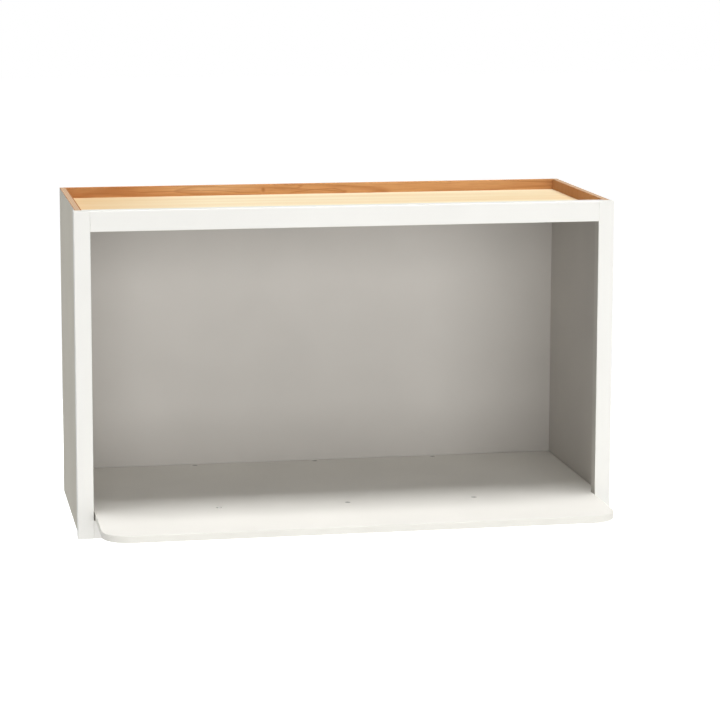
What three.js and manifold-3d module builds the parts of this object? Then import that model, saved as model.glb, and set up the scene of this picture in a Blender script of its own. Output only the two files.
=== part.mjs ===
// An open wall cabinet for a microwave oven: a plywood box behind a painted face frame, with a
// thin shelf screwed down on its floor that runs out through the frame.
//
// Millimetres, +Z up, +X to the right as seen from the front, +Y from the front to the back.
// Inside the cabinet group Y is 0 at the face frame's front. The group is then moved so that the
// origin is the middle of the whole footprint, at the height of the cabinet's bottom edges.

import * as THREE from 'three';
import { mergeVertices } from 'three/addons/utils/BufferGeometryUtils.js';
import Module from 'manifold-3d';

const wasm = await Module();
wasm.setup();

// ---- Driving dimensions -------------------------------------------------------------------

// The whole cabinet, without the part of the shelf that stands out in front.
const cabinetWidth = 762;
const cabinetHeight = 457.2;
const cabinetDepth = 304.8;

// Face frame: two full-height stiles with two rails between them.
const frameThickness = 19;
const stileWidth = 22.2;
const topRailHeight = 28.6;
const bottomRailHeight = 25.4;
const frameReveal = 2.4; // the frame stands past the side panels by this much
const frameGroove = 6; // depth to which the box is let into the frame's back
const easedEdge = 0.6; // small chamfer on the frame's front arrises

// Plywood box.
const sideThickness = 9.5;
const topThickness = 9.5;
const bottomThickness = 9.5;
const backThickness = 9.5;
const topRecess = 15.1; // how far the top panel lies below the top of the sides
const dadoDepth = 4; // depth of the grooves and rebates in the side panels

// Shelf.
const shelfThickness = 9.5;
const shelfOverhang = 135; // in front of the face frame
const shelfCornerRadius = 38;
const shelfFrameGap = 2; // to the stiles, where the shelf passes through the opening
const shelfWallGap = 1; // to the side panels and the back panel
const bandThickness = 1;

// Shelf screws: three through the bottom rail's middle, three close to the back.
const screwPitch = 183;
const rearScrewInset = 7; // from the back panel's face to the rear screws
const screwLength = 16;
const screwHeadRadius = 4;
const screwShankRadius = 1.9;
const screwHeadRim = 0.5;
const screwPointLength = 3;
const screwSink = 0.2; // the heads lie this far below the shelf's surface
const driveSpan = 4.4; // the cross recess in each head
const driveWidth = 1;
const driveDepth = 1.2;

// Dowels in the frame's four corner joints.
const dowelRadius = 3;
const dowelLength = 24;
const dowelEdgeDistance = 7.5; // from a rail's edges to the dowels' axes

// Fits.
const glueLine = 0.1; // between flat faces that are glued or that rest on each other
const holeClearance = 0.3; // round screws and dowels, and past their ends

const roundSides = 24;
const cornerSteps = 12;
const cutOver = 5; // a cutter runs this far past the face that it opens

// ---- Planes that several pieces share -----------------------------------------------------

const frameHalf = cabinetWidth / 2;
const openingHalf = frameHalf - stileWidth;
const sideOuter = frameHalf - frameReveal;
const sideInner = sideOuter - sideThickness;
const boxFront = frameThickness - frameGroove + glueLine;
const backFace = cabinetDepth - backThickness;
const rebateFace = backFace - glueLine;
const topPanelTop = cabinetHeight - topRecess;
const topPanelBottom = topPanelTop - topThickness;
const bottomPanelTop = bottomRailHeight;
const bottomPanelBottom = bottomPanelTop - bottomThickness;
const shelfBottom = bottomRailHeight + glueLine;
const shelfTop = shelfBottom + shelfThickness;
const shelfShoulder = frameThickness + shelfWallGap;
const shelfBack = backFace - shelfWallGap;
const bandOuterHalf = openingHalf - shelfFrameGap;
const screwTop = shelfTop - screwSink;
const frontScrewY = frameThickness / 2;
const rearScrewY = backFace - rearScrewInset;
const dowelY = (frameThickness - frameGroove) / 2;

// ---- Finishes -----------------------------------------------------------------------------

const finish = (color, roughness, metalness = 0) => () =>
  new THREE.MeshStandardMaterial({ color, roughness, metalness });

const whitePaint = finish(0xf7f6f2, 0.45);
const whiteLaminate = finish(0xf0eee9, 0.5);
const whiteEdging = finish(0xf0eee8, 0.4);
const paleVeneer = finish(0xffe8bf, 0.6);
const beech = finish(0xd9b98c, 0.7);
const zincPlate = finish(0xb9b8b4, 0.35, 0.9);

// ---- Solid building -----------------------------------------------------------------------

function toSolid(geometry) {
  const bare = geometry.clone();
  bare.deleteAttribute('normal');
  bare.deleteAttribute('uv');
  const merged = mergeVertices(bare, 1e-4);
  return new wasm.Manifold(new wasm.Mesh({
    numProp: 3,
    vertProperties: new Float32Array(merged.attributes.position.array),
    triVerts: new Uint32Array(merged.index.array),
  }));
}

function toGeometry(solid) {
  const { vertProperties, triVerts } = solid.getMesh();
  const indexed = new THREE.BufferGeometry();
  indexed.setAttribute('position', new THREE.BufferAttribute(vertProperties, 3));
  indexed.setIndex(new THREE.BufferAttribute(triVerts, 1));
  const geometry = indexed.toNonIndexed();
  geometry.computeVertexNormals();
  return geometry;
}

function carve(geometry, cutters) {
  const carved = cutters.reduce((body, cutter) => body.subtract(toSolid(cutter)), toSolid(geometry));
  return toGeometry(carved);
}

// A box between two opposite corners.
function block([x0, y0, z0], [x1, y1, z1]) {
  const geometry = new THREE.BoxGeometry(x1 - x0, y1 - y0, z1 - z0);
  return geometry.translate((x0 + x1) / 2, (y0 + y1) / 2, (z0 + z1) / 2);
}

function outline(points) {
  return new THREE.Shape(points.map(([x, y]) => new THREE.Vector2(x, y)));
}

// A plan outline in X and Y, raised from z0 to z1.
function raise(shape, z0, z1) {
  const options = { depth: z1 - z0, bevelEnabled: false, curveSegments: cornerSteps };
  return new THREE.ExtrudeGeometry(shape, options).translate(0, 0, z0);
}

// A section in Y and Z, drawn out along X between -halfLength and halfLength.
function drawAcross(shape, halfLength) {
  const options = { depth: 2 * halfLength, bevelEnabled: false };
  const turned = new THREE.Matrix4().makeBasis(
    new THREE.Vector3(0, 1, 0),
    new THREE.Vector3(0, 0, 1),
    new THREE.Vector3(1, 0, 0),
  );
  return new THREE.ExtrudeGeometry(shape, options).applyMatrix4(turned).translate(-halfLength, 0, 0);
}

function rod(radius, length) {
  return new THREE.CylinderGeometry(radius, radius, length, roundSides);
}

const cabinet = new THREE.Group();

function add(name, geometry, material) {
  const mesh = new THREE.Mesh(geometry, material());
  mesh.name = name;
  cabinet.add(mesh);
  return mesh;
}

// ---- Dowel and screw places ---------------------------------------------------------------

const rails = [
  { name: 'top', low: cabinetHeight - topRailHeight, high: cabinetHeight },
  { name: 'bottom', low: 0, high: bottomRailHeight },
];
const hands = [{ name: 'left', sign: -1 }, { name: 'right', sign: 1 }];

const dowels = rails.flatMap((rail) => hands.flatMap((hand) => [
  { name: `${rail.name}_${hand.name}_lower_dowel`, z: rail.low + dowelEdgeDistance, rail, hand },
  { name: `${rail.name}_${hand.name}_upper_dowel`, z: rail.high - dowelEdgeDistance, rail, hand },
]));

const screwRows = [{ name: 'front', y: frontScrewY }, { name: 'rear', y: rearScrewY }];
const screwColumns = [{ name: 'left', x: -screwPitch }, { name: 'middle', x: 0 }, { name: 'right', x: screwPitch }];
const screws = screwRows.flatMap((row) => screwColumns.map((column) => (
  { name: `${row.name}_${column.name}_shelf_screw`, x: column.x, y: row.y, row: row.name }
)));

function dowelHole({ z, hand }) {
  const hole = rod(dowelRadius + holeClearance, dowelLength + 2 * holeClearance);
  return hole.rotateZ(Math.PI / 2).translate(hand.sign * openingHalf, dowelY, z);
}

// A screw's outline from its top down its side, grown by a clearance all round.
function screwProfile(clearance, topZ) {
  const head = screwHeadRadius + clearance;
  const shank = screwShankRadius + clearance;
  const coneFoot = -screwHeadRim - (screwHeadRadius - screwShankRadius);
  return [
    new THREE.Vector2(0, -screwLength - clearance),
    new THREE.Vector2(shank, -screwLength + screwPointLength - clearance),
    new THREE.Vector2(shank, coneFoot - clearance),
    new THREE.Vector2(head, -screwHeadRim - clearance),
    new THREE.Vector2(head, topZ),
    new THREE.Vector2(0, topZ),
  ];
}

function screwShape(clearance, topZ) {
  return new THREE.LatheGeometry(screwProfile(clearance, topZ), roundSides).rotateX(Math.PI / 2);
}

function screwHole({ x, y }) {
  return screwShape(holeClearance, cutOver).translate(x, y, screwTop);
}

// ---- Face frame ---------------------------------------------------------------------------

// Plan of a stile: eased front arrises, and a groove in its back for the side panel's front edge.
function stileOutline(sign) {
  const grooveOuter = sideOuter + glueLine;
  const grooveInner = sideInner - glueLine;
  const grooveFloor = frameThickness - frameGroove;
  return outline([
    [openingHalf, easedEdge],
    [openingHalf + easedEdge, 0],
    [frameHalf - easedEdge, 0],
    [frameHalf, easedEdge],
    [frameHalf, frameThickness],
    [grooveOuter, frameThickness],
    [grooveOuter, grooveFloor],
    [grooveInner, grooveFloor],
    [grooveInner, frameThickness],
    [openingHalf, frameThickness],
  ].map(([x, y]) => [sign * x, y]));
}

function addStile(hand) {
  const plank = raise(stileOutline(hand.sign), 0, cabinetHeight);
  const holes = dowels.filter((dowel) => dowel.hand === hand).map(dowelHole);
  add(`${hand.name}_stile`, carve(plank, holes), whitePaint);
}

// Section of the top rail: eased front arrises, and a groove for the top panel's front edge.
function topRailSection() {
  const [low, high] = [cabinetHeight - topRailHeight, cabinetHeight];
  const grooveFloor = frameThickness - frameGroove;
  return outline([
    [easedEdge, low],
    [frameThickness, low],
    [frameThickness, topPanelBottom - glueLine],
    [grooveFloor, topPanelBottom - glueLine],
    [grooveFloor, topPanelTop + glueLine],
    [frameThickness, topPanelTop + glueLine],
    [frameThickness, high],
    [easedEdge, high],
    [0, high - easedEdge],
    [0, low + easedEdge],
  ]);
}

// Section of the bottom rail: eased front arrises, and a rebate for the bottom panel.
function bottomRailSection() {
  const grooveFloor = frameThickness - frameGroove;
  return outline([
    [easedEdge, 0],
    [frameThickness, 0],
    [frameThickness, bottomPanelBottom - glueLine],
    [grooveFloor, bottomPanelBottom - glueLine],
    [grooveFloor, bottomRailHeight],
    [easedEdge, bottomRailHeight],
    [0, bottomRailHeight - easedEdge],
    [0, easedEdge],
  ]);
}

function addRail(rail, section, extraHoles) {
  const stick = drawAcross(section, openingHalf - glueLine);
  const holes = dowels.filter((dowel) => dowel.rail === rail).map(dowelHole);
  add(`${rail.name}_rail`, carve(stick, [...holes, ...extraHoles]), whitePaint);
}

function addDowel({ name, z, hand }) {
  const dowel = add(name, rod(dowelRadius, dowelLength), beech);
  dowel.rotation.z = Math.PI / 2;
  dowel.position.set(hand.sign * openingHalf, dowelY, z);
}

// ---- Plywood box --------------------------------------------------------------------------

// Plan of a side panel, with a rebate along its back edge for the back panel.
function sideOutline(sign) {
  return outline([
    [sideInner, boxFront],
    [sideOuter, boxFront],
    [sideOuter, cabinetDepth],
    [sideInner + dadoDepth, cabinetDepth],
    [sideInner + dadoDepth, rebateFace],
    [sideInner, rebateFace],
  ].map(([x, y]) => [sign * x, y]));
}

// A groove across a side panel's inner face for the end of a horizontal panel.
function dado(sign, low, high) {
  const inner = sign * (sideInner - cutOver);
  const floor = sign * (sideInner + dadoDepth);
  return block(
    [Math.min(inner, floor), boxFront - cutOver, low - glueLine],
    [Math.max(inner, floor), cabinetDepth, high + glueLine],
  );
}

function addSidePanel({ name, sign }) {
  const board = raise(sideOutline(sign), 0, cabinetHeight);
  const dados = [
    dado(sign, topPanelBottom, topPanelTop),
    dado(sign, bottomPanelBottom, bottomPanelTop),
  ];
  add(`${name}_side_panel`, carve(board, dados), whiteLaminate);
}

// Plan of the top and bottom panels: ends in the sides' grooves, a tongue between the stiles.
function deckOutline() {
  const endHalf = sideInner + dadoDepth - glueLine;
  const tongueHalf = openingHalf - glueLine;
  const shoulder = frameThickness + glueLine;
  return outline([
    [-tongueHalf, boxFront],
    [tongueHalf, boxFront],
    [tongueHalf, shoulder],
    [endHalf, shoulder],
    [endHalf, rebateFace],
    [-endHalf, rebateFace],
    [-endHalf, shoulder],
    [-tongueHalf, shoulder],
  ]);
}

function addTopPanel() {
  add('top_panel', raise(deckOutline(), topPanelBottom, topPanelTop), paleVeneer);
}

function addBottomPanel() {
  const board = raise(deckOutline(), bottomPanelBottom, bottomPanelTop);
  const pilots = screws.filter((screw) => screw.row === 'rear').map(screwHole);
  add('bottom_panel', carve(board, pilots), whiteLaminate);
}

function addBackPanel() {
  const halfWidth = sideInner + dadoDepth - glueLine;
  const board = block([-halfWidth, backFace, 0], [halfWidth, cabinetDepth, cabinetHeight]);
  add('back_panel', board, whiteLaminate);
}

// ---- Shelf --------------------------------------------------------------------------------

// The front end of the shelf in plan, from the left shoulder round both corners to the right one.
function shelfNose(shape, half, front, radius) {
  shape.lineTo(-half, front + radius);
  shape.absarc(-half + radius, front + radius, radius, Math.PI, 1.5 * Math.PI, false);
  shape.lineTo(half - radius, front);
  shape.absarc(half - radius, front + radius, radius, -0.5 * Math.PI, 0, false);
}

// The board fills the box behind the frame and narrows to pass between the stiles.
function shelfOutline() {
  const wideHalf = sideInner - shelfWallGap;
  const edging = bandThickness + glueLine;
  const noseHalf = bandOuterHalf - edging;
  const shape = new THREE.Shape();
  shape.moveTo(-wideHalf, shelfBack);
  shape.lineTo(-wideHalf, shelfShoulder);
  shape.lineTo(-noseHalf, shelfShoulder);
  shelfNose(shape, noseHalf, -shelfOverhang + edging, shelfCornerRadius - edging);
  shape.lineTo(noseHalf, shelfShoulder);
  shape.lineTo(wideHalf, shelfShoulder);
  shape.lineTo(wideHalf, shelfBack);
  return shape;
}

function addShelf() {
  const board = raise(shelfOutline(), shelfBottom, shelfTop);
  add('microwave_shelf', carve(board, screws.map(screwHole)), whiteLaminate);
}

// A thin strip glued round the part of the shelf that shows in front.
function addEdgeBand() {
  const end = shelfShoulder - glueLine;
  const innerHalf = bandOuterHalf - bandThickness;
  const shape = new THREE.Shape();
  shape.moveTo(-bandOuterHalf, end);
  shelfNose(shape, bandOuterHalf, -shelfOverhang, shelfCornerRadius);
  shape.lineTo(bandOuterHalf, end);
  shape.lineTo(innerHalf, end);
  const innerFront = -shelfOverhang + bandThickness;
  const innerRadius = shelfCornerRadius - bandThickness;
  shape.lineTo(innerHalf, innerFront + innerRadius);
  shape.absarc(innerHalf - innerRadius, innerFront + innerRadius, innerRadius, 0, -0.5 * Math.PI, true);
  shape.lineTo(-innerHalf + innerRadius, innerFront);
  shape.absarc(-innerHalf + innerRadius, innerFront + innerRadius, innerRadius, 1.5 * Math.PI, Math.PI, true);
  shape.lineTo(-innerHalf, end);
  add('shelf_edge_band', raise(shape, shelfBottom, shelfTop), whiteEdging);
}

function addScrew({ name, x, y }) {
  const half = driveSpan / 2;
  const slot = [
    block([-half, -driveWidth / 2, -driveDepth], [half, driveWidth / 2, cutOver]),
    block([-driveWidth / 2, -half, -driveDepth], [driveWidth / 2, half, cutOver]),
  ];
  const screw = add(name, carve(screwShape(0, 0), slot), zincPlate);
  screw.position.set(x, y, screwTop);
}

// ---- Assembly -----------------------------------------------------------------------------

hands.forEach(addSidePanel);
addTopPanel();
addBottomPanel();
addBackPanel();

hands.forEach(addStile);
addRail(rails[0], topRailSection(), []);
addRail(rails[1], bottomRailSection(), screws.filter((screw) => screw.row === 'front').map(screwHole));
dowels.forEach(addDowel);

addShelf();
addEdgeBand();
screws.forEach(addScrew);

cabinet.position.y = (shelfOverhang - cabinetDepth) / 2;

export default cabinet;
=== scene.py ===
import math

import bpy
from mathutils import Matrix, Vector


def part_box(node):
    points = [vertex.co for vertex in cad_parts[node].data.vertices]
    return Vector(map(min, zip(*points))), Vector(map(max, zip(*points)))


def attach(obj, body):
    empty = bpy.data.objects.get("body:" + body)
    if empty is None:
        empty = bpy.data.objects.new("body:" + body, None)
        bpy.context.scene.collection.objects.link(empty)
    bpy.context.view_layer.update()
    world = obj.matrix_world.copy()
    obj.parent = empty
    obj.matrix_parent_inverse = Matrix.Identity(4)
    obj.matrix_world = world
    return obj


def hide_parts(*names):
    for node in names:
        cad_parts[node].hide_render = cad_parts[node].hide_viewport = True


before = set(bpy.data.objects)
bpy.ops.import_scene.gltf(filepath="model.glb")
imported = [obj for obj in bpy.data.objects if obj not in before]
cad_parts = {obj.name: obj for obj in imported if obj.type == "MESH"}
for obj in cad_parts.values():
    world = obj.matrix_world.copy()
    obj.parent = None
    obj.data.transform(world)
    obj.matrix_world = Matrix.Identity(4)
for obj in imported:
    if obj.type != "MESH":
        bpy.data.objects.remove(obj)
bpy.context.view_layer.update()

# A white wall cabinet for a microwave oven: a plywood box behind a painted face frame, with a
# shelf that runs out through the opening. Metres, +Z up, -Y is the front, +X is the right side.

MM = 0.001

# ---- Places, worked out from the frame ---------------------------------------------------------

HANDS = {"left": -1, "right": 1}

side_low, side_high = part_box("right_side_panel")
stile_low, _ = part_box("right_stile")
top_low, top_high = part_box("top_panel")
back_low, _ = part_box("back_panel")
screw_low, screw_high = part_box("front_middle_shelf_screw")

WELL_FLOOR = top_high.z               # the top panel's upper face
HIDDEN_LINE = (top_low.z + top_high.z) / 2    # behind the top panel's edges
SIDE_INNER = side_low.x
PLY_THICKNESS = side_high.x - SIDE_INNER
BACK_FACE = back_low.y
FRAME_FRONT = stile_low.y
SCREW_LENGTH = screw_high.z - screw_low.z
HEAD_RADIUS = (screw_high.x - screw_low.x) / 2

# ---- Sizes that only the finish needs ----------------------------------------------------------

MERGE_DISTANCE = 0.01 * MM
FLAT_ANGLE = math.radians(0.5)
SHARP_ANGLE = math.radians(30)
FACING = 0.9                          # a face looks along an axis if its normal passes this

PAINTED_ARRIS = 0.25 * MM             # rounding of painted edges
SAWN_ARRIS = 0.15 * MM                # rounding of raw plywood edges
EDGING_ARRIS = 0.3 * MM

SCREW_SIDES = 32
SCREW_ARRIS = 0.1 * MM
SCREW_SHARP_ANGLE = math.radians(40)
HEAD_RIM = 0.5 * MM
SHANK_RADIUS = 1.9 * MM               # over the thread
THREAD_DEPTH = 0.5 * MM
THREAD_PITCH = 2.2 * MM
THREAD_STEPS = 12                     # rings in one turn of the thread
NECK_LENGTH = 0.7 * MM
POINT_LENGTH = 3 * MM
RECESS_SPAN = 4.4 * MM
RECESS_WIDTH = 1 * MM
RECESS_DEPTH = 1.3 * MM
RECESS_TAPER = 0.55                   # the recess's size at its bottom, against its top
CUTTER_RISE = 0.3 * MM                # how far the recess's cutter stands over the head
SCREW_STOPS = (12, 64, 35, 81, 50, 23)        # degrees, front row first, each from the left

# ---- Camera, solved from the cabinet's corners in the photograph -------------------------------

CAMERA_PLACE = (-0.6386, -3.5559, 0.8691)
CAMERA_TURN = (81.835, -0.114, -10.652)       # degrees
CAMERA_LENS = 128.1
CAMERA_SENSOR = 36
CAMERA_SHIFT = -0.12
CAMERA_REACH = 100


def place_camera():
    data = bpy.data.cameras.new("product camera")
    data.sensor_width = CAMERA_SENSOR
    data.lens = CAMERA_LENS
    data.shift_y = CAMERA_SHIFT
    data.clip_end = CAMERA_REACH
    camera = bpy.data.objects.new("product camera", data)
    camera.location = CAMERA_PLACE
    camera.rotation_euler = [math.radians(angle) for angle in CAMERA_TURN]
    bpy.context.scene.collection.objects.link(camera)
    bpy.context.scene.camera = camera


# ---- Lamps: places, aims and sizes in metres, powers in watts ----------------------------------

CABINET_MIDDLE = (0, 0, 0.23)
SOFTBOX_SIZE = (3.2, 3.2)
OVERHEAD_AIM = Vector((0.6, FRAME_FRONT - 0.28, 0))
OVERHEAD_PLACE = OVERHEAD_AIM + Vector((0, 0, 8))
OVERHEAD_SIZE = (8, 2.75)
OVERHEAD_POWER = 625
HIGH_FRONT_PLACE = (0, -2, 7.9)
HIGH_FRONT_POWER = 50
FRONT_AIM = (0.7, 0, 0.7)
FRONT_PLACE = (0.7, -5, 0.7)
FRONT_SIZE = (5.6, 3.4)
FRONT_POWER = 199
SIDE_PLACE = (8, 2, 0.5)              # of the right one, and mirrored for the left one
SIDE_POWER = 120
REAR_PLACE = (0, 8, 0.5)
REAR_POWER = 300


# A softbox that faces its aim and that the camera doesn't see.
def add_lamp(name, place, aim, power, size=SOFTBOX_SIZE):
    data = bpy.data.lights.new(name, "AREA")
    data.shape = "RECTANGLE"
    data.size, data.size_y = size
    data.energy = power
    lamp = bpy.data.objects.new(name, data)
    lamp.location = place
    lamp.rotation_euler = (Vector(aim) - Vector(place)).to_track_quat("-Z", "Y").to_euler()
    lamp.visible_camera = False
    bpy.context.scene.collection.objects.link(lamp)
    return lamp


def light_studio():
    add_lamp("overhead softbox", OVERHEAD_PLACE, OVERHEAD_AIM, OVERHEAD_POWER, OVERHEAD_SIZE)
    add_lamp("high front softbox", HIGH_FRONT_PLACE, CABINET_MIDDLE, HIGH_FRONT_POWER)
    add_lamp("front wall of light", FRONT_PLACE, FRONT_AIM, FRONT_POWER, FRONT_SIZE)
    out, back, up = SIDE_PLACE
    for hand, turn in HANDS.items():
        add_lamp(f"{hand} softbox", (turn * out, back, up), CABINET_MIDDLE, SIDE_POWER)
    rear = add_lamp("rear softbox", REAR_PLACE, CABINET_MIDDLE, REAR_POWER)
    rear.visible_glossy = False       # no glare on the top and the sides


# ---- Floor and background ----------------------------------------------------------------------

WHITE = (1, 1, 1, 1)
AMBIENT = 0.02                        # strength of the air's own light on the cabinet
HANGING_HEIGHT = 1.37                 # of the cabinet's bottom above the floor
FLOOR_SIZE = 60
FLOOR_MATT = (0.6, 0.6, 0.6, 1)       # as it lights the cabinet from below
FLOOR_SEEN = (0.4, 0.4, 0.4, 1)       # as it takes the shadow, under its own white
FLOOR_FADE = (2.5, 4.5)               # metres from the middle, where its own white rises
FLOOR_GLOW = (0.75, 1.0)              # strength of that white, before and after the rise


# 1 for rays that show the background: straight from the camera, or by way of metal or glass.
def seen_as_background(tree):
    path = tree.nodes.new("ShaderNodeLightPath")
    seen = path.outputs["Is Camera Ray"]
    for name in ("Is Glossy Ray", "Is Transmission Ray"):
        either = tree.nodes.new("ShaderNodeMath")
        either.operation = "MAXIMUM"
        tree.links.new(seen, either.inputs[0])
        tree.links.new(path.outputs[name], either.inputs[1])
        seen = either.outputs[0]
    return seen


# Ends a tree with one shader for the rays that light the cabinet and one for the background.
def end_tree(tree, output_kind, lighting, background):
    mix = tree.nodes.new("ShaderNodeMixShader")
    tree.links.new(seen_as_background(tree), mix.inputs["Fac"])
    tree.links.new(lighting.outputs[0], mix.inputs[1])
    tree.links.new(background.outputs[0], mix.inputs[2])
    output = tree.nodes.new(output_kind)
    tree.links.new(mix.outputs[0], output.inputs["Surface"])


def paint_world():
    world = bpy.data.worlds.new("studio air")
    world.use_nodes = True
    tree = world.node_tree
    tree.nodes.clear()
    ambient = tree.nodes.new("ShaderNodeBackground")
    ambient.inputs["Color"].default_value = WHITE
    ambient.inputs["Strength"].default_value = AMBIENT
    white = tree.nodes.new("ShaderNodeBackground")
    white.inputs["Color"].default_value = WHITE
    white.inputs["Strength"].default_value = 1
    end_tree(tree, "ShaderNodeOutputWorld", ambient, white)
    bpy.context.scene.world = world


# The floor shows its shadows near the cabinet, and further out it fades into the white air.
def floor_material():
    material = bpy.data.materials.new("pale studio floor")
    material.use_nodes = True
    tree = material.node_tree
    tree.nodes.clear()
    matt = tree.nodes.new("ShaderNodeBsdfDiffuse")
    matt.inputs["Color"].default_value = FLOOR_MATT
    seen = tree.nodes.new("ShaderNodeBsdfDiffuse")
    seen.inputs["Color"].default_value = FLOOR_SEEN
    place = tree.nodes.new("ShaderNodeTexCoord")
    away = tree.nodes.new("ShaderNodeVectorMath")
    away.operation = "LENGTH"
    tree.links.new(place.outputs["Object"], away.inputs[0])
    fade = tree.nodes.new("ShaderNodeMapRange")
    tree.links.new(away.outputs["Value"], fade.inputs["Value"])
    sockets = ("From Min", "From Max", "To Min", "To Max")
    for socket, value in zip(sockets, FLOOR_FADE + FLOOR_GLOW):
        fade.inputs[socket].default_value = value
    glow = tree.nodes.new("ShaderNodeEmission")
    tree.links.new(fade.outputs[0], glow.inputs["Strength"])
    lit = tree.nodes.new("ShaderNodeAddShader")
    tree.links.new(seen.outputs[0], lit.inputs[0])
    tree.links.new(glow.outputs[0], lit.inputs[1])
    end_tree(tree, "ShaderNodeOutputMaterial", matt, lit)
    return material


def lay_floor():
    bpy.ops.mesh.primitive_plane_add(size=FLOOR_SIZE, location=(0, 0, -HANGING_HEIGHT))
    floor = bpy.context.active_object
    floor.name = "studio_floor"
    floor.data.materials.append(floor_material())


# ---- Material building -------------------------------------------------------------------------

FIRST_COLOR, SECOND_COLOR, MIXED_COLOR = 6, 7, 2      # a Mix node's sockets for colours

NOISE_REACH = (0.3, 0.7)              # nearly all of a noise lies between these
SPOT_DEPTH = 3 * MM                   # how far a spot reaches into the board and out of it
SPOT_CORE = 0.2                       # share of a spot's reach where it is at its full strength
LINE_CORE = 0.3 * MM                  # half width of a growth line at its full strength
LINE_EDGE = 1 * MM                    # half width where it is gone
LINE_TAIL = 8 * MM                    # length over which its ends fade


class Finish:
    """One material: its shader, its Object coordinates, and short calls that add its nodes."""

    def __init__(self, name, **sockets):
        self.material = bpy.data.materials.new(name)
        self.material.use_nodes = True
        self.tree = self.material.node_tree
        self.shader = self.tree.nodes["Principled BSDF"]
        for socket, value in sockets.items():
            self.shader.inputs[socket.replace("_", " ")].default_value = value
        self.place = self.add("ShaderNodeTexCoord").outputs["Object"]

    def add(self, kind, settings=(), **sockets):
        node = self.tree.nodes.new(kind)
        for key, value in dict(settings).items():
            setattr(node, key, value)
        for socket, value in sockets.items():
            self.put(value, node.inputs[socket.replace("_", " ")])
        return node

    def put(self, value, socket):
        if isinstance(value, bpy.types.NodeSocket):
            self.tree.links.new(value, socket)
        else:
            socket.default_value = value

    def noise(self, scale, detail=3, roughness=0.5, distortion=0, shift=(0, 0, 0)):
        """Noise with so many waves a metre along each axis."""
        mapping = self.add("ShaderNodeMapping", Vector=self.place, Scale=scale, Location=shift)
        return self.add("ShaderNodeTexNoise", Vector=mapping.outputs[0], Scale=1, Detail=detail,
                        Roughness=roughness, Distortion=distortion).outputs["Fac"]

    def math(self, operation, first, second=0.0):
        node = self.add("ShaderNodeMath", {"operation": operation})
        self.put(first, node.inputs[0])
        self.put(second, node.inputs[1])
        return node.outputs[0]

    def spread(self, value, low, high, to_low=0.0, to_high=1.0):
        """Value from low..high taken to to_low..to_high, held at both ends."""
        return self.add("ShaderNodeMapRange", Value=value, From_Min=low, From_Max=high,
                        To_Min=to_low, To_Max=to_high).outputs[0]

    def axis(self, name):
        return self.add("ShaderNodeSeparateXYZ", Vector=self.place).outputs[name]

    def strip_spot(self, centre, reach):
        """1 at an x and z in millimetres on the back panel's strip, fading to 0 at its reach."""
        away = self.add("ShaderNodeVectorMath", {"operation": "SUBTRACT"})
        self.put(self.place, away.inputs[0])
        self.put((centre[0] * MM, BACK_FACE, centre[1] * MM), away.inputs[1])
        scale = (1 / (reach[0] * MM), 1 / SPOT_DEPTH, 1 / (reach[1] * MM))
        mapping = self.add("ShaderNodeMapping", Vector=away.outputs[0], Scale=scale)
        length = self.add("ShaderNodeVectorMath", {"operation": "LENGTH"})
        self.put(mapping.outputs[0], length.inputs[0])
        return self.spread(length.outputs["Value"], SPOT_CORE, 1, 1, 0)

    def growth_line(self, crown_x, crown_z, curve, start, stop):
        """1 along a thin curved line on an upright face, fading out at its two ends."""
        x, z = self.axis("X"), self.axis("Z")
        off = self.math("SUBTRACT", x, crown_x)
        bend = self.math("MULTIPLY", self.math("MULTIPLY", off, off), curve)
        height = self.math("SUBTRACT", self.math("SUBTRACT", z, crown_z), bend)
        line = self.spread(self.math("ABSOLUTE", height), LINE_CORE, LINE_EDGE, 1, 0)
        begun = self.spread(x, start, start + LINE_TAIL)
        ended = self.spread(x, stop - LINE_TAIL, stop, 1, 0)
        return self.math("MULTIPLY", line, self.math("MULTIPLY", begun, ended))

    def mix(self, factor, first, second):
        node = self.add("ShaderNodeMix", {"data_type": "RGBA"})
        self.put(factor, node.inputs["Factor"])
        self.put(first, node.inputs[FIRST_COLOR])
        self.put(second, node.inputs[SECOND_COLOR])
        return node.outputs[MIXED_COLOR]

    def ramp(self, factor, stops, interpolation="LINEAR"):
        node = self.add("ShaderNodeValToRGB", Fac=factor)
        ramp = node.color_ramp
        ramp.interpolation = interpolation
        while len(ramp.elements) < len(stops):
            ramp.elements.new(1)
        for element, (position, color) in zip(ramp.elements, stops):
            element.position, element.color = position, color
        return node.outputs[0]

    def color(self, value):
        self.put(value, self.shader.inputs["Base Color"])

    def uneven_gloss(self, noise, stray):
        """Roughness that strays with a noise to both sides of the shader's own."""
        socket = self.shader.inputs["Roughness"]
        own = socket.default_value
        self.put(self.spread(noise, *NOISE_REACH, own - stray, own + stray), socket)

    def relief(self, height, depth):
        """Bump of a height from 0 to 1 that stands for depth metres."""
        bump = self.add("ShaderNodeBump", Height=height, Distance=depth)
        self.put(bump.outputs[0], self.shader.inputs["Normal"])


# A noise's scale along each axis: so many waves a metre along the grain, and so many across it.
def waves(grain_axis, along, across):
    return [along if axis == grain_axis else across for axis in "XYZ"]


# A colour as read off a screen, 0 to 255, as Blender's linear colour.
def srgb(red, green, blue):
    parts = []
    for value in (red, green, blue):
        part = value / 255
        parts.append(part / 12.92 if part <= 0.04045 else ((part + 0.055) / 1.055) ** 2.4)
    return (*parts, 1)


# ---- Tones -------------------------------------------------------------------------------------

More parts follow.
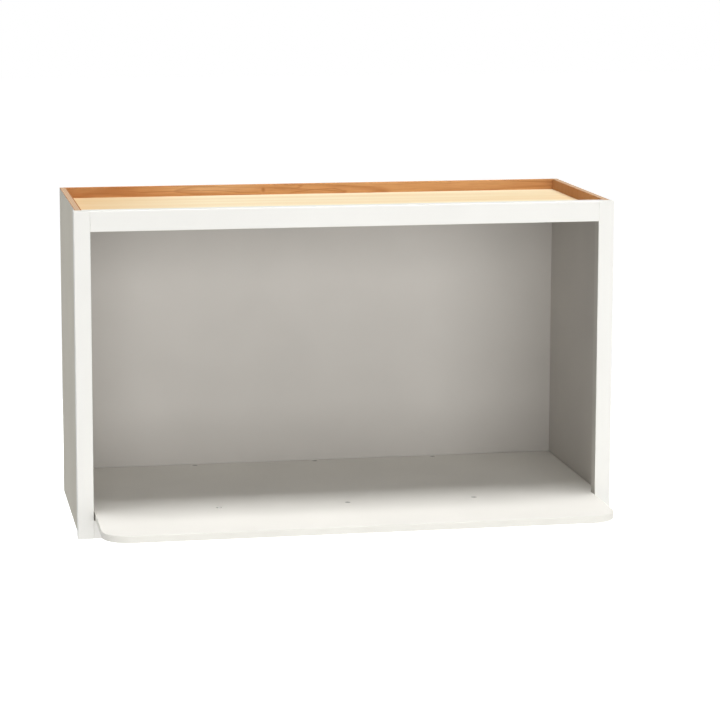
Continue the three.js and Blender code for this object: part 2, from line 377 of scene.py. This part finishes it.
PAINT = srgb(248, 247, 242)
PAINT_SHADE = srgb(245, 244, 239)
# Painted shade: the boards' white is greyed well below the frame's paint, for the shade inside
# the bay.
BOARD = srgb(198, 194, 188)
BOARD_SHADE = srgb(194, 190, 184)
SIDE = srgb(237, 233, 221)
SIDE_SHADE = srgb(233, 229, 217)
# Painted shade: a greyer white on the frame's edges round the opening, for the shade that falls
# in there.
INNER_EDGE = srgb(205, 202, 196)
INNER_EDGE_SHADE = srgb(201, 198, 191)
# Painted shade: a greyer white on the frame's top faces and the bottom rail's underside, which
# holds back the overhead lamp's light there.
TOP_EDGE = srgb(226, 225, 220)
TOP_EDGE_SHADE = srgb(223, 222, 217)
SHELF = srgb(238, 236, 230)
SHELF_SHADE = srgb(234, 232, 226)
EDGING = srgb(243, 241, 233)
EDGING_SHADE = srgb(240, 238, 230)

CHERRY_PALE = srgb(242, 198, 149)
CHERRY_LIGHT = srgb(233, 183, 130)
CHERRY = srgb(215, 157, 103)
CHERRY_DARK = srgb(168, 98, 49)
CHERRY_RUDDY = srgb(176, 122, 76)
MAPLE_LIGHT = srgb(244, 231, 199)
MAPLE = srgb(235, 210, 168)
MAPLE_DARK = srgb(220, 186, 138)
PLY_CORE = srgb(203, 173, 143)
PLY_CORE_DARK = srgb(189, 157, 127)
PLY_FACE = srgb(168, 112, 68)
BEECH = srgb(217, 185, 140)
ZINC = srgb(196, 195, 190)
ZINC_DULL = srgb(150, 149, 145)

# ---- Painted finishes --------------------------------------------------------------------------

PAINT_ROUGHNESS = 0.5
PAINT_STRAY = 0.05
PAINT_SHINE = 0.25
SHELF_SHINE = 0.1
SIDE_SHINE = 0                        # dull, so that the studio doesn't mirror in it
PAINT_RELIEF = 0.02 * MM
PAINT_GRAIN = (6, 900)                # waves a metre, along the grain and across it
PAINT_GRAIN_PART = 0.5                # of the grain in the relief, against the peel
PAINT_CLOUDS = (7, 7, 7)
PAINT_CLOUD_STEP = (0.35, 0.65)       # of the noise, from the light tone to the shade
PAINT_PEEL = (450, 450, 450)


# Sprayed paint: slight orange peel, and the wood's grain just showing through along one axis.
def sprayed_paint(name, grain_axis, light, shade, shine=PAINT_SHINE):
    finish = Finish(name, Roughness=PAINT_ROUGHNESS, Specular_IOR_Level=shine)
    grain = finish.noise(waves(grain_axis, *PAINT_GRAIN), detail=2)
    cloud = finish.noise(PAINT_CLOUDS, detail=2)
    peel = finish.noise(PAINT_PEEL, detail=1)
    finish.color(finish.mix(finish.spread(cloud, *PAINT_CLOUD_STEP), light, shade))
    finish.uneven_gloss(peel, PAINT_STRAY)
    grain_part = finish.math("MULTIPLY", grain, PAINT_GRAIN_PART)
    finish.relief(finish.math("ADD", grain_part, peel), PAINT_RELIEF)
    return finish.material


# ---- Cherry veneer -----------------------------------------------------------------------------

RAW_SHINE = 0.15
VENEER_ROUGHNESS = 0.8
VENEER_STRAY = 0.08

CHERRY_RELIEF = 0.04 * MM
CHERRY_FIGURE = (2.4, 34)             # waves a metre, along the grain and across it
CHERRY_FIBRE = (28, 1300)
CHERRY_STRIPS = (1.6, 9)
CHERRY_STRIP_SHIFT = (3.1, 0, 1.7)
CHERRY_STRIP_STEP = (0.38, 0.62)      # of the noise, from the light tone to the darker one
CHERRY_PORE_STEP = (0.5, 0.72)        # of the fibre's noise, from no pore to a dark one
RINGS = 9                             # growth rings while the figure's noise goes from 0 to 1
RING_TONES = ((0.0, 0.1), (0.55, 0.3), (0.86, 1), (0.93, 0.7), (1.0, 0.1))    # across one ring

BACK_FIGURE = 0.45                    # how strongly the figure and the pores show
SIDE_FIGURE = 0.2
SIDE_HEART = 0.75                     # how ruddy the side panels' strips are
BACK_END_TONE = 0.28                     # how ruddy and dark the back panel's strip grows towards both of its ends
BACK_END_TONE_RISE = (0.24, 0.38)        # metres from the middle, where the ruddy tone rises

# Growth lines on the back panel's upper strip, in millimetres: the x and z of each line's crown,
# how far it curves away over CURVE_RUN, and the x where it starts and ends.
CURVE_RUN = 10 * MM
GROWTH_LINES = (
    (-170, 450, -0.02, -310, -165),
    (-170, 450, -0.11, -175, -105),
    (-95, 446, 0, -122, -78),
    (27, 449, -0.13, -42, 30),
    (27, 449, -1.1, 24, 50),
    (-38, 450, 0.27, -66, -36),
    (-38, 450, 0.8, -41, -13),
)
GROWTH_LINE_DEPTH = 0.5
# Dark flecks where a line turns: centre and reach, along x and z.
FLECKS = (
    ((-76.5, 449.6), (4.5, 6.0)),
    ((-20, 454.4), (7, 1.5)),
    ((46, 445), (7, 1.7)),
)
FLECK_DEPTH = 0.65
# A paler patch between the lines: centre and reach, along x and z.
PALE_PATCH = ((-155, 453), (88, 8))
PALE_PATCH_DEPTH = 0.8


# Cherry face veneer: growth rings that wander along the grain and close into long arches, fine
# dark pores, and a ruddier, darker tone, all over on the side panels' strips and rising towards
# both ends of the back panel's. Lines, flecks and a patch are laid over its own figure.
def cherry_veneer(name, grain_axis, figure_depth, lines=(), flecks=(), pale_patch=None):
    finish = Finish(name, Roughness=VENEER_ROUGHNESS, Specular_IOR_Level=RAW_SHINE)
    figure = finish.noise(waves(grain_axis, *CHERRY_FIGURE), detail=2, roughness=0.45,
                          distortion=0.7)
    fibre = finish.noise(waves(grain_axis, *CHERRY_FIBRE), detail=3, roughness=0.6)
    strip = finish.noise(waves(grain_axis, *CHERRY_STRIPS), detail=2, shift=CHERRY_STRIP_SHIFT)
    ground = finish.mix(finish.spread(strip, *CHERRY_STRIP_STEP), CHERRY_LIGHT, CHERRY)
    ruddy_share = SIDE_HEART
    if grain_axis == "X":
        from_middle = finish.math("ABSOLUTE", finish.axis("X"))
        ruddy_share = finish.spread(from_middle, *BACK_END_TONE_RISE, 0, BACK_END_TONE)
    ground = finish.mix(ruddy_share, ground, CHERRY_RUDDY)
    if pale_patch:
        patch = finish.math("MULTIPLY", finish.strip_spot(*pale_patch), PALE_PATCH_DEPTH)
        ground = finish.mix(patch, ground, CHERRY_PALE)
    ring = finish.math("FRACT", finish.math("MULTIPLY", figure, RINGS))
    dark = finish.ramp(ring, [(place, (tone, tone, tone, 1)) for place, tone in RING_TONES])
    dark = finish.math("MULTIPLY", dark, figure_depth)
    for x, z, curve, start, stop in lines:
        bend = curve * MM / CURVE_RUN ** 2
        line = finish.growth_line(x * MM, z * MM, bend, start * MM, stop * MM)
        line = finish.math("MULTIPLY", line, GROWTH_LINE_DEPTH)
        dark = finish.math("MAXIMUM", dark, line)
    for centre, reach in flecks:
        fleck = finish.math("MULTIPLY", finish.strip_spot(centre, reach), FLECK_DEPTH)
        dark = finish.math("MAXIMUM", dark, fleck)
    ground = finish.mix(dark, ground, CHERRY_DARK)
    pores = finish.spread(fibre, *CHERRY_PORE_STEP, 0, figure_depth)
    finish.color(finish.mix(pores, ground, CHERRY_DARK))
    finish.uneven_gloss(fibre, VENEER_STRAY)
    finish.relief(fibre, CHERRY_RELIEF)
    return finish.material


# ---- Maple veneer ------------------------------------------------------------------------------

MAPLE_RELIEF = 0.03 * MM
MAPLE_STREAKS = (1.3, 30)             # waves a metre, along the grain and across it
MAPLE_STREAK_PART = 0.7               # of the streaks in the tone, against the clouds
MAPLE_CLOUDS = (2.5, 6)
MAPLE_CLOUD_SHIFT = (0.4, 2, 0)
MAPLE_TONE_STEP = (0.4, 0.62)         # of the noise, from the light tone to the darker one
MAPLE_FIBRE = (25, 1400)
MAPLE_FIBRE_STEP = (0.5, 0.75)
MAPLE_FIBRE_DEPTH = 0.25
MAPLE_LEFT_DEPTH = 0.75               # how dark the top panel's left end is
MAPLE_LEFT_FADE = (-0.34, -0.16)      # x where that tone starts to fade, and where it is gone


# Maple face veneer, rotary cut: wide pale streaks with a faint fibre.
def maple_veneer(name):
    finish = Finish(name, Roughness=VENEER_ROUGHNESS, Specular_IOR_Level=RAW_SHINE)
    streak = finish.noise(waves("X", *MAPLE_STREAKS), detail=3, roughness=0.6)
    cloud = finish.noise(waves("X", *MAPLE_CLOUDS), detail=2, shift=MAPLE_CLOUD_SHIFT)
    fibre = finish.noise(waves("X", *MAPLE_FIBRE), detail=2)
    streak_part = finish.math("MULTIPLY", streak, MAPLE_STREAK_PART)
    cloud_part = finish.math("MULTIPLY", cloud, 1 - MAPLE_STREAK_PART)
    tone = finish.math("ADD", streak_part, cloud_part)
    ground = finish.mix(finish.spread(tone, *MAPLE_TONE_STEP), MAPLE_LIGHT, MAPLE)
    left_end = finish.spread(finish.axis("X"), *MAPLE_LEFT_FADE, MAPLE_LEFT_DEPTH, 0)
    ground = finish.mix(left_end, ground, MAPLE_DARK)
    shown_fibre = finish.spread(fibre, *MAPLE_FIBRE_STEP, 0, MAPLE_FIBRE_DEPTH)
    finish.color(finish.mix(shown_fibre, ground, MAPLE))
    finish.uneven_gloss(fibre, VENEER_STRAY)
    finish.relief(fibre, MAPLE_RELIEF)
    return finish.material


# ---- Plywood edges -----------------------------------------------------------------------------

PLIES = (                             # where each ply starts across the board, and its tone
    (0.0, PLY_FACE), (0.18, PLY_CORE), (0.38, PLY_CORE_DARK), (0.45, PLY_CORE),
    (0.6, PLY_CORE_DARK), (0.67, PLY_CORE), (0.9, PLY_FACE),
)
PLY_WAVER = (150, 150, 150)           # waves a metre
PLY_WAVER_DEPTH = 0.02                # how far a ply's line strays, in board thicknesses
PLY_ROUGHNESS = 0.85
PLY_RELIEF = 0.1 * MM
PLY_FIBRE = (900, 900, 900)
PLY_FIBRE_STEP = (0.45, 0.75)
PLY_FIBRE_DEPTH = 0.3


# Raw plywood edge: two thin brown faces round pale inner plies, across the board's thickness.
def ply_edge(name, across, start, thickness):
    finish = Finish(name, Roughness=PLY_ROUGHNESS, Specular_IOR_Level=RAW_SHINE)
    distance = finish.math("SUBTRACT", finish.math("ABSOLUTE", finish.axis(across)), start)
    layer = finish.math("DIVIDE", distance, thickness)
    waver = finish.noise(PLY_WAVER, detail=2)
    waver = finish.spread(waver, 0, 1, -PLY_WAVER_DEPTH, PLY_WAVER_DEPTH)
    plies = finish.ramp(finish.math("ADD", layer, waver), PLIES, "CONSTANT")
    fibre = finish.noise(PLY_FIBRE, detail=3, roughness=0.65)
    shown_fibre = finish.spread(fibre, *PLY_FIBRE_STEP, 0, PLY_FIBRE_DEPTH)
    finish.color(finish.mix(shown_fibre, plies, PLY_FACE))
    finish.relief(fibre, PLY_RELIEF)
    return finish.material


# ---- Beech and steel ---------------------------------------------------------------------------

BEECH_ROUGHNESS = 0.6
BEECH_FIBRE = (60, 1500)              # waves a metre, along the grain and across it
BEECH_FIBRE_STEP = (0.4, 0.7)
BEECH_RELIEF = 0.05 * MM
ZINC_METAL = 0.9
ZINC_ROUGHNESS = 0.365
ZINC_STRAY = 0.085
ZINC_CLOUDS = (900, 900, 900)
ZINC_CLOUD_STEP = (0.35, 0.65)
ZINC_RELIEF = 0.01 * MM


def beech_wood(name):
    finish = Finish(name, Roughness=BEECH_ROUGHNESS)
    fibre = finish.noise(waves("X", *BEECH_FIBRE), detail=3)
    finish.color(finish.mix(finish.spread(fibre, *BEECH_FIBRE_STEP), BEECH, PLY_CORE_DARK))
    finish.relief(fibre, BEECH_RELIEF)
    return finish.material


def zinc_plate(name):
    finish = Finish(name, Metallic=ZINC_METAL, Roughness=ZINC_ROUGHNESS)
    cloud = finish.noise(ZINC_CLOUDS, detail=3)
    finish.color(finish.mix(finish.spread(cloud, *ZINC_CLOUD_STEP), ZINC, ZINC_DULL))
    finish.uneven_gloss(cloud, ZINC_STRAY)
    finish.relief(cloud, ZINC_RELIEF)
    return finish.material


# ---- Finishes of this cabinet ------------------------------------------------------------------

UPRIGHT_PAINT = sprayed_paint("sprayed paint on upright frame wood", "Z", PAINT, PAINT_SHADE)
LEVEL_PAINT = sprayed_paint("sprayed paint on level frame wood", "X", PAINT, PAINT_SHADE)
# Painted shade: the frame's edges round the opening are greyed for the shade inside it.
OPENING_PAINTED_SHADE = sprayed_paint("thinner paint on the edges round the opening", "Z",
                             INNER_EDGE, INNER_EDGE_SHADE)
# Painted shade: the frame's top edge is greyed against the overhead lamp's light.
TOP_EDGE_PAINTED_SHADE = sprayed_paint("greyed paint, a painted shade, on the frame's top edge", "X",
                               TOP_EDGE, TOP_EDGE_SHADE)
SIDE_PAINT = sprayed_paint("white finish on the outside of the side panels", "Z",
                           SIDE, SIDE_SHADE, SIDE_SHINE)
# Painted shade: the bay's walls and the back panel, and the boards that share their finish, take
# the greyed board white.
WALL_PAINT = sprayed_paint("white finish of the bay's side walls", "Z", BOARD, BOARD_SHADE)
BACK_PAINT = sprayed_paint("white finish of the back panel, greyed with painted shade", "X", BOARD, BOARD_SHADE)
SHELF_PAINT = sprayed_paint("white finish of the shelf", "X", SHELF, SHELF_SHADE, SHELF_SHINE)
EDGING_PAINT = sprayed_paint("white shelf edging", "X", EDGING, EDGING_SHADE)
LEVEL_CHERRY = cherry_veneer("cherry veneer with level grain", "X", BACK_FIGURE,
                             GROWTH_LINES, FLECKS, PALE_PATCH)
UPRIGHT_CHERRY = cherry_veneer("cherry veneer with upright grain", "Z", SIDE_FIGURE)
TOP_MAPLE = maple_veneer("maple veneer of the top panel")
SIDE_PLIES = ply_edge("raw edge of the side panels", "X", SIDE_INNER, PLY_THICKNESS)
DOWEL_BEECH = beech_wood("beech dowel")
SCREW_ZINC = zinc_plate("zinc plated steel")


# ---- Piece building ----------------------------------------------------------------------------

def select_only(piece):
    bpy.ops.object.select_all(action="DESELECT")
    piece.select_set(True)
    bpy.context.view_layer.objects.active = piece


# A merged copy of a node's mesh, with its flat faces whole again.
def copy_of(node, name):
    piece = bpy.data.objects.new(name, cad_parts[node].data.copy())
    piece.data.name = name
    piece.data.materials.clear()
    bpy.context.scene.collection.objects.link(piece)
    select_only(piece)
    bpy.ops.object.mode_set(mode="EDIT")
    bpy.ops.mesh.select_all(action="SELECT")
    bpy.ops.mesh.remove_doubles(threshold=MERGE_DISTANCE)
    bpy.ops.mesh.dissolve_limited(angle_limit=FLAT_ANGLE)
    bpy.ops.mesh.customdata_custom_splitnormals_clear()
    bpy.ops.object.mode_set(mode="OBJECT")
    return piece


# Selects the faces that a rule picks by their centre and normal, and leaves edit mode on.
def select_faces(piece, rule):
    select_only(piece)
    bpy.ops.object.mode_set(mode="EDIT")
    bpy.ops.mesh.select_mode(type="FACE")
    bpy.ops.mesh.select_all(action="DESELECT")
    bpy.ops.object.mode_set(mode="OBJECT")
    for face in piece.data.polygons:
        face.select = rule(face.center, face.normal)
    bpy.ops.object.mode_set(mode="EDIT")


# Selects the edges whose middle a rule picks, and leaves edit mode on.
def select_edges(piece, rule):
    select_only(piece)
    bpy.ops.object.mode_set(mode="EDIT")
    bpy.ops.mesh.select_mode(type="EDGE")
    bpy.ops.mesh.select_all(action="DESELECT")
    bpy.ops.object.mode_set(mode="OBJECT")
    corners = piece.data.vertices
    for edge in piece.data.edges:
        first, second = (corners[index].co for index in edge.vertices)
        edge.select = rule((first + second) / 2)
    bpy.ops.object.mode_set(mode="EDIT")


# Gives a piece its main material, and others to the faces that their rules pick.
def finish_faces(piece, main, *others):
    piece.data.materials.append(main)
    for index, (material, rule) in enumerate(others, start=1):
        piece.data.materials.append(material)
        select_faces(piece, rule)
        piece.active_material_index = index
        bpy.ops.object.material_slot_assign()
        bpy.ops.object.mode_set(mode="OBJECT")


def round_arrises(piece, width, segments=2):
    select_only(piece)
    bpy.ops.object.shade_smooth()
    bevel = piece.modifiers.new("soft arrises", "BEVEL")
    bevel.width = width
    bevel.segments = segments
    bevel.limit_method = "ANGLE"
    bevel.angle_limit = SHARP_ANGLE
    level = piece.modifiers.new("true flats", "WEIGHTED_NORMAL")
    level.keep_sharp = True
    for modifier in (bevel, level):
        bpy.ops.object.modifier_apply(modifier=modifier.name)


def fit_to_cabinet(piece, slot, *nodes):
    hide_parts(*nodes)
    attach(piece, "root")


def repaint(node, material):
    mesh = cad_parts[node].data
    mesh.materials.clear()
    mesh.materials.append(material)


# ---- Face frame --------------------------------------------------------------------------------

def dress_stile(hand):
    inward = -HANDS[hand]
    piece = copy_of(f"{hand}_stile", f"{hand}_stile_painted")
    finish_faces(
        piece,
        UPRIGHT_PAINT,
        # painted shade on the face towards the opening
        (OPENING_PAINTED_SHADE, lambda at, normal: normal.x * inward > FACING),
        # painted shade on the top face
        (TOP_EDGE_PAINTED_SHADE, lambda at, normal: normal.z > FACING),
    )
    round_arrises(piece, PAINTED_ARRIS)
    fit_to_cabinet(piece, "frame_paint", f"{hand}_stile")


def dress_rail(level):
    outward = {"top": 1, "bottom": -1}[level]
    piece = copy_of(f"{level}_rail", f"{level}_rail_painted")
    finish_faces(
        piece,
        LEVEL_PAINT,
        # painted shade on the face towards the opening
        (OPENING_PAINTED_SHADE, lambda at, normal: normal.z * outward < -FACING),
        # painted shade on the outer level face: the top rail's top, the bottom rail's underside
        (TOP_EDGE_PAINTED_SHADE, lambda at, normal: normal.z * outward > FACING),
    )
    round_arrises(piece, PAINTED_ARRIS)
    fit_to_cabinet(piece, "frame_paint", f"{level}_rail")


# ---- Plywood box -------------------------------------------------------------------------------

def dress_side_panel(hand):
    inward = -HANDS[hand]
    piece = copy_of(f"{hand}_side_panel", f"{hand}_side_panel_board")
    finish_faces(
        piece,
        SIDE_PAINT,
        (WALL_PAINT, lambda at, normal: normal.x * inward > FACING and at.z < WELL_FLOOR),
        (UPRIGHT_CHERRY, lambda at, normal: normal.x * inward > FACING and at.z > WELL_FLOOR),
        (SIDE_PLIES, lambda at, normal: abs(normal.z) > FACING or normal.y > FACING),
    )
    round_arrises(piece, SAWN_ARRIS)
    fit_to_cabinet(piece, "side_board", f"{hand}_side_panel")


def dress_back_panel():
    piece = copy_of("back_panel", "back_panel_board")
    select_only(piece)
    bpy.ops.object.mode_set(mode="EDIT")
    bpy.ops.mesh.select_all(action="SELECT")
    bpy.ops.mesh.bisect(plane_co=(0, 0, HIDDEN_LINE), plane_no=(0, 0, 1))
    bpy.ops.object.mode_set(mode="OBJECT")
    finish_faces(
        piece,
        BACK_PAINT,
        (LEVEL_CHERRY, lambda at, normal: at.z > HIDDEN_LINE or normal.y > FACING),
    )
    round_arrises(piece, SAWN_ARRIS)
    fit_to_cabinet(piece, "back_board", "back_panel")


def dress_top_panel():
    piece = copy_of("top_panel", "top_panel_board")
    finish_faces(piece, BACK_PAINT, (TOP_MAPLE, lambda at, normal: normal.z > FACING))
    round_arrises(piece, SAWN_ARRIS)
    fit_to_cabinet(piece, "top_board", "top_panel")


# ---- Shelf -------------------------------------------------------------------------------------

def dress_shelf():
    board = copy_of("microwave_shelf", "microwave_shelf_board")
    finish_faces(board, SHELF_PAINT)
    round_arrises(board, SAWN_ARRIS)
    fit_to_cabinet(board, "shelf_board", "microwave_shelf")
    band = copy_of("shelf_edge_band", "shelf_edge_band_strip")
    finish_faces(band, EDGING_PAINT)
    round_arrises(band, EDGING_ARRIS, segments=3)
    fit_to_cabinet(band, "shelf_edging", "shelf_edge_band")


# ---- Shelf screws ------------------------------------------------------------------------------

# Draws the selected face out into the next ring below it, round the Z axis.
def draw_down(drop, scale=1, turn=0):
    bpy.ops.mesh.extrude_region_move(TRANSFORM_OT_translate={"value": (0, 0, -drop)})
    bpy.ops.transform.resize(value=(scale, scale, 1), center_override=(0, 0, 0))
    bpy.ops.transform.rotate(value=turn, orient_axis="Z", center_override=(0, 0, 0))


# The thread is one round ring, set off the axis and turned a little further at each step down.
def draw_thread_and_point(length):
    ring_drop = THREAD_PITCH / THREAD_STEPS
    ring_turn = math.tau / THREAD_STEPS
    core_radius = SHANK_RADIUS - THREAD_DEPTH / 2
    draw_down(NECK_LENGTH, core_radius / SHANK_RADIUS)
    bpy.ops.transform.translate(value=(THREAD_DEPTH / 2, 0, 0))
    full_rings = round((length - NECK_LENGTH - POINT_LENGTH) / ring_drop)
    for _ in range(full_rings):
        draw_down(ring_drop, turn=ring_turn)
    point_top = NECK_LENGTH + full_rings * ring_drop
    point_rings = round(POINT_LENGTH / ring_drop)
    point_drop = (length - point_top) / point_rings
    for left in range(point_rings - 1, 0, -1):
        draw_down(point_drop, scale=left / (left + 1), turn=ring_turn)
    draw_down(point_drop)
    bpy.ops.mesh.merge(type="CENTER")


# A tapering cross that stands over the head's face and reaches down into it.
def model_recess_cutter():
    arm = (RECESS_SPAN - RECESS_WIDTH) / 2
    outer_line = RECESS_WIDTH / 2 - MERGE_DISTANCE
    bpy.ops.object.select_all(action="DESELECT")
    bpy.ops.mesh.primitive_plane_add(size=RECESS_WIDTH, location=(0, 0, CUTTER_RISE))
    cutter = bpy.context.active_object
    bpy.ops.object.transform_apply(location=True, rotation=True, scale=True)
    for toward in (Vector((1, 0, 0)), Vector((0, 1, 0)), Vector((-1, 0, 0)), Vector((0, -1, 0))):
        select_edges(cutter, lambda middle: middle.dot(toward) > outer_line)
        bpy.ops.mesh.extrude_region_move(TRANSFORM_OT_translate={"value": toward * arm})
        bpy.ops.object.mode_set(mode="OBJECT")
    bpy.ops.object.mode_set(mode="EDIT")
    bpy.ops.mesh.select_all(action="SELECT")
    draw_down(CUTTER_RISE + RECESS_DEPTH, scale=RECESS_TAPER)
    bpy.ops.mesh.select_all(action="SELECT")
    bpy.ops.mesh.normals_make_consistent(inside=False)
    bpy.ops.object.mode_set(mode="OBJECT")
    return cutter


# A countersunk wood screw on the Z axis, with its head's face at zero and no recess yet.
def model_screw_blank():
    bpy.ops.object.select_all(action="DESELECT")
    bpy.ops.mesh.primitive_circle_add(vertices=SCREW_SIDES, radius=HEAD_RADIUS, fill_type="NGON")
    screw = bpy.context.active_object
    bpy.ops.object.mode_set(mode="EDIT")
    bpy.ops.mesh.select_mode(type="FACE")
    bpy.ops.mesh.select_all(action="SELECT")
    draw_down(HEAD_RIM)
    cone = HEAD_RADIUS - SHANK_RADIUS
    draw_down(cone, SHANK_RADIUS / HEAD_RADIUS)
    draw_thread_and_point(SCREW_LENGTH - HEAD_RIM - cone)
    bpy.ops.mesh.select_all(action="SELECT")
    bpy.ops.mesh.remove_doubles(threshold=MERGE_DISTANCE)
    bpy.ops.mesh.normals_make_consistent(inside=False)
    bpy.ops.object.mode_set(mode="OBJECT")
    return screw


def model_screw():
    screw = model_screw_blank()
    cutter = model_recess_cutter()
    recess = screw.modifiers.new("cross recess", "BOOLEAN")
    recess.object = cutter
    recess.solver = "EXACT"
    arrises = screw.modifiers.new("soft arrises", "BEVEL")
    arrises.width = SCREW_ARRIS
    arrises.segments = 2
    arrises.limit_method = "ANGLE"
    arrises.angle_limit = SCREW_SHARP_ANGLE
    select_only(screw)
    for modifier in (recess, arrises):
        bpy.ops.object.modifier_apply(modifier=modifier.name)
    bpy.ops.object.shade_smooth_by_angle(angle=SHARP_ANGLE)
    screw.data.materials.clear()
    screw.data.materials.append(SCREW_ZINC)
    bpy.data.objects.remove(cutter)
    return screw


# Drives a copy of the screw home where its node is, turned as it stopped.
def drive_screw(pattern, row, column, stop):
    low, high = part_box(f"{row}_{column}_shelf_screw")
    place = ((low.x + high.x) / 2, (low.y + high.y) / 2, high.z)
    screw = bpy.data.objects.new(f"{row}_{column}_wood_screw", pattern.data.copy())
    screw.data.name = screw.name
    bpy.context.scene.collection.objects.link(screw)
    select_only(screw)
    bpy.ops.object.mode_set(mode="EDIT")
    bpy.ops.mesh.select_all(action="SELECT")
    bpy.ops.transform.rotate(value=math.radians(stop), orient_axis="Z", center_override=(0, 0, 0))
    bpy.ops.transform.translate(value=place)
    bpy.ops.object.mode_set(mode="OBJECT")
    fit_to_cabinet(screw, "screw_steel", f"{row}_{column}_shelf_screw")


def drive_screws():
    pattern = model_screw()
    stops = iter(SCREW_STOPS)
    for row in ("front", "rear"):
        for column in ("left", "middle", "right"):
            drive_screw(pattern, row, column, next(stops))
    bpy.data.objects.remove(pattern)


# ---- Assembly ----------------------------------------------------------------------------------

for hand in HANDS:
    dress_stile(hand)
    dress_side_panel(hand)
for level in ("top", "bottom"):
    dress_rail(level)
dress_top_panel()
dress_back_panel()
dress_shelf()
drive_screws()
repaint("bottom_panel", BACK_PAINT)
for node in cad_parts:
    if node.endswith("_dowel"):
        repaint(node, DOWEL_BEECH)

lay_floor()
paint_world()
light_studio()
place_camera()
bpy.context.scene.view_settings.view_transform = "Standard"
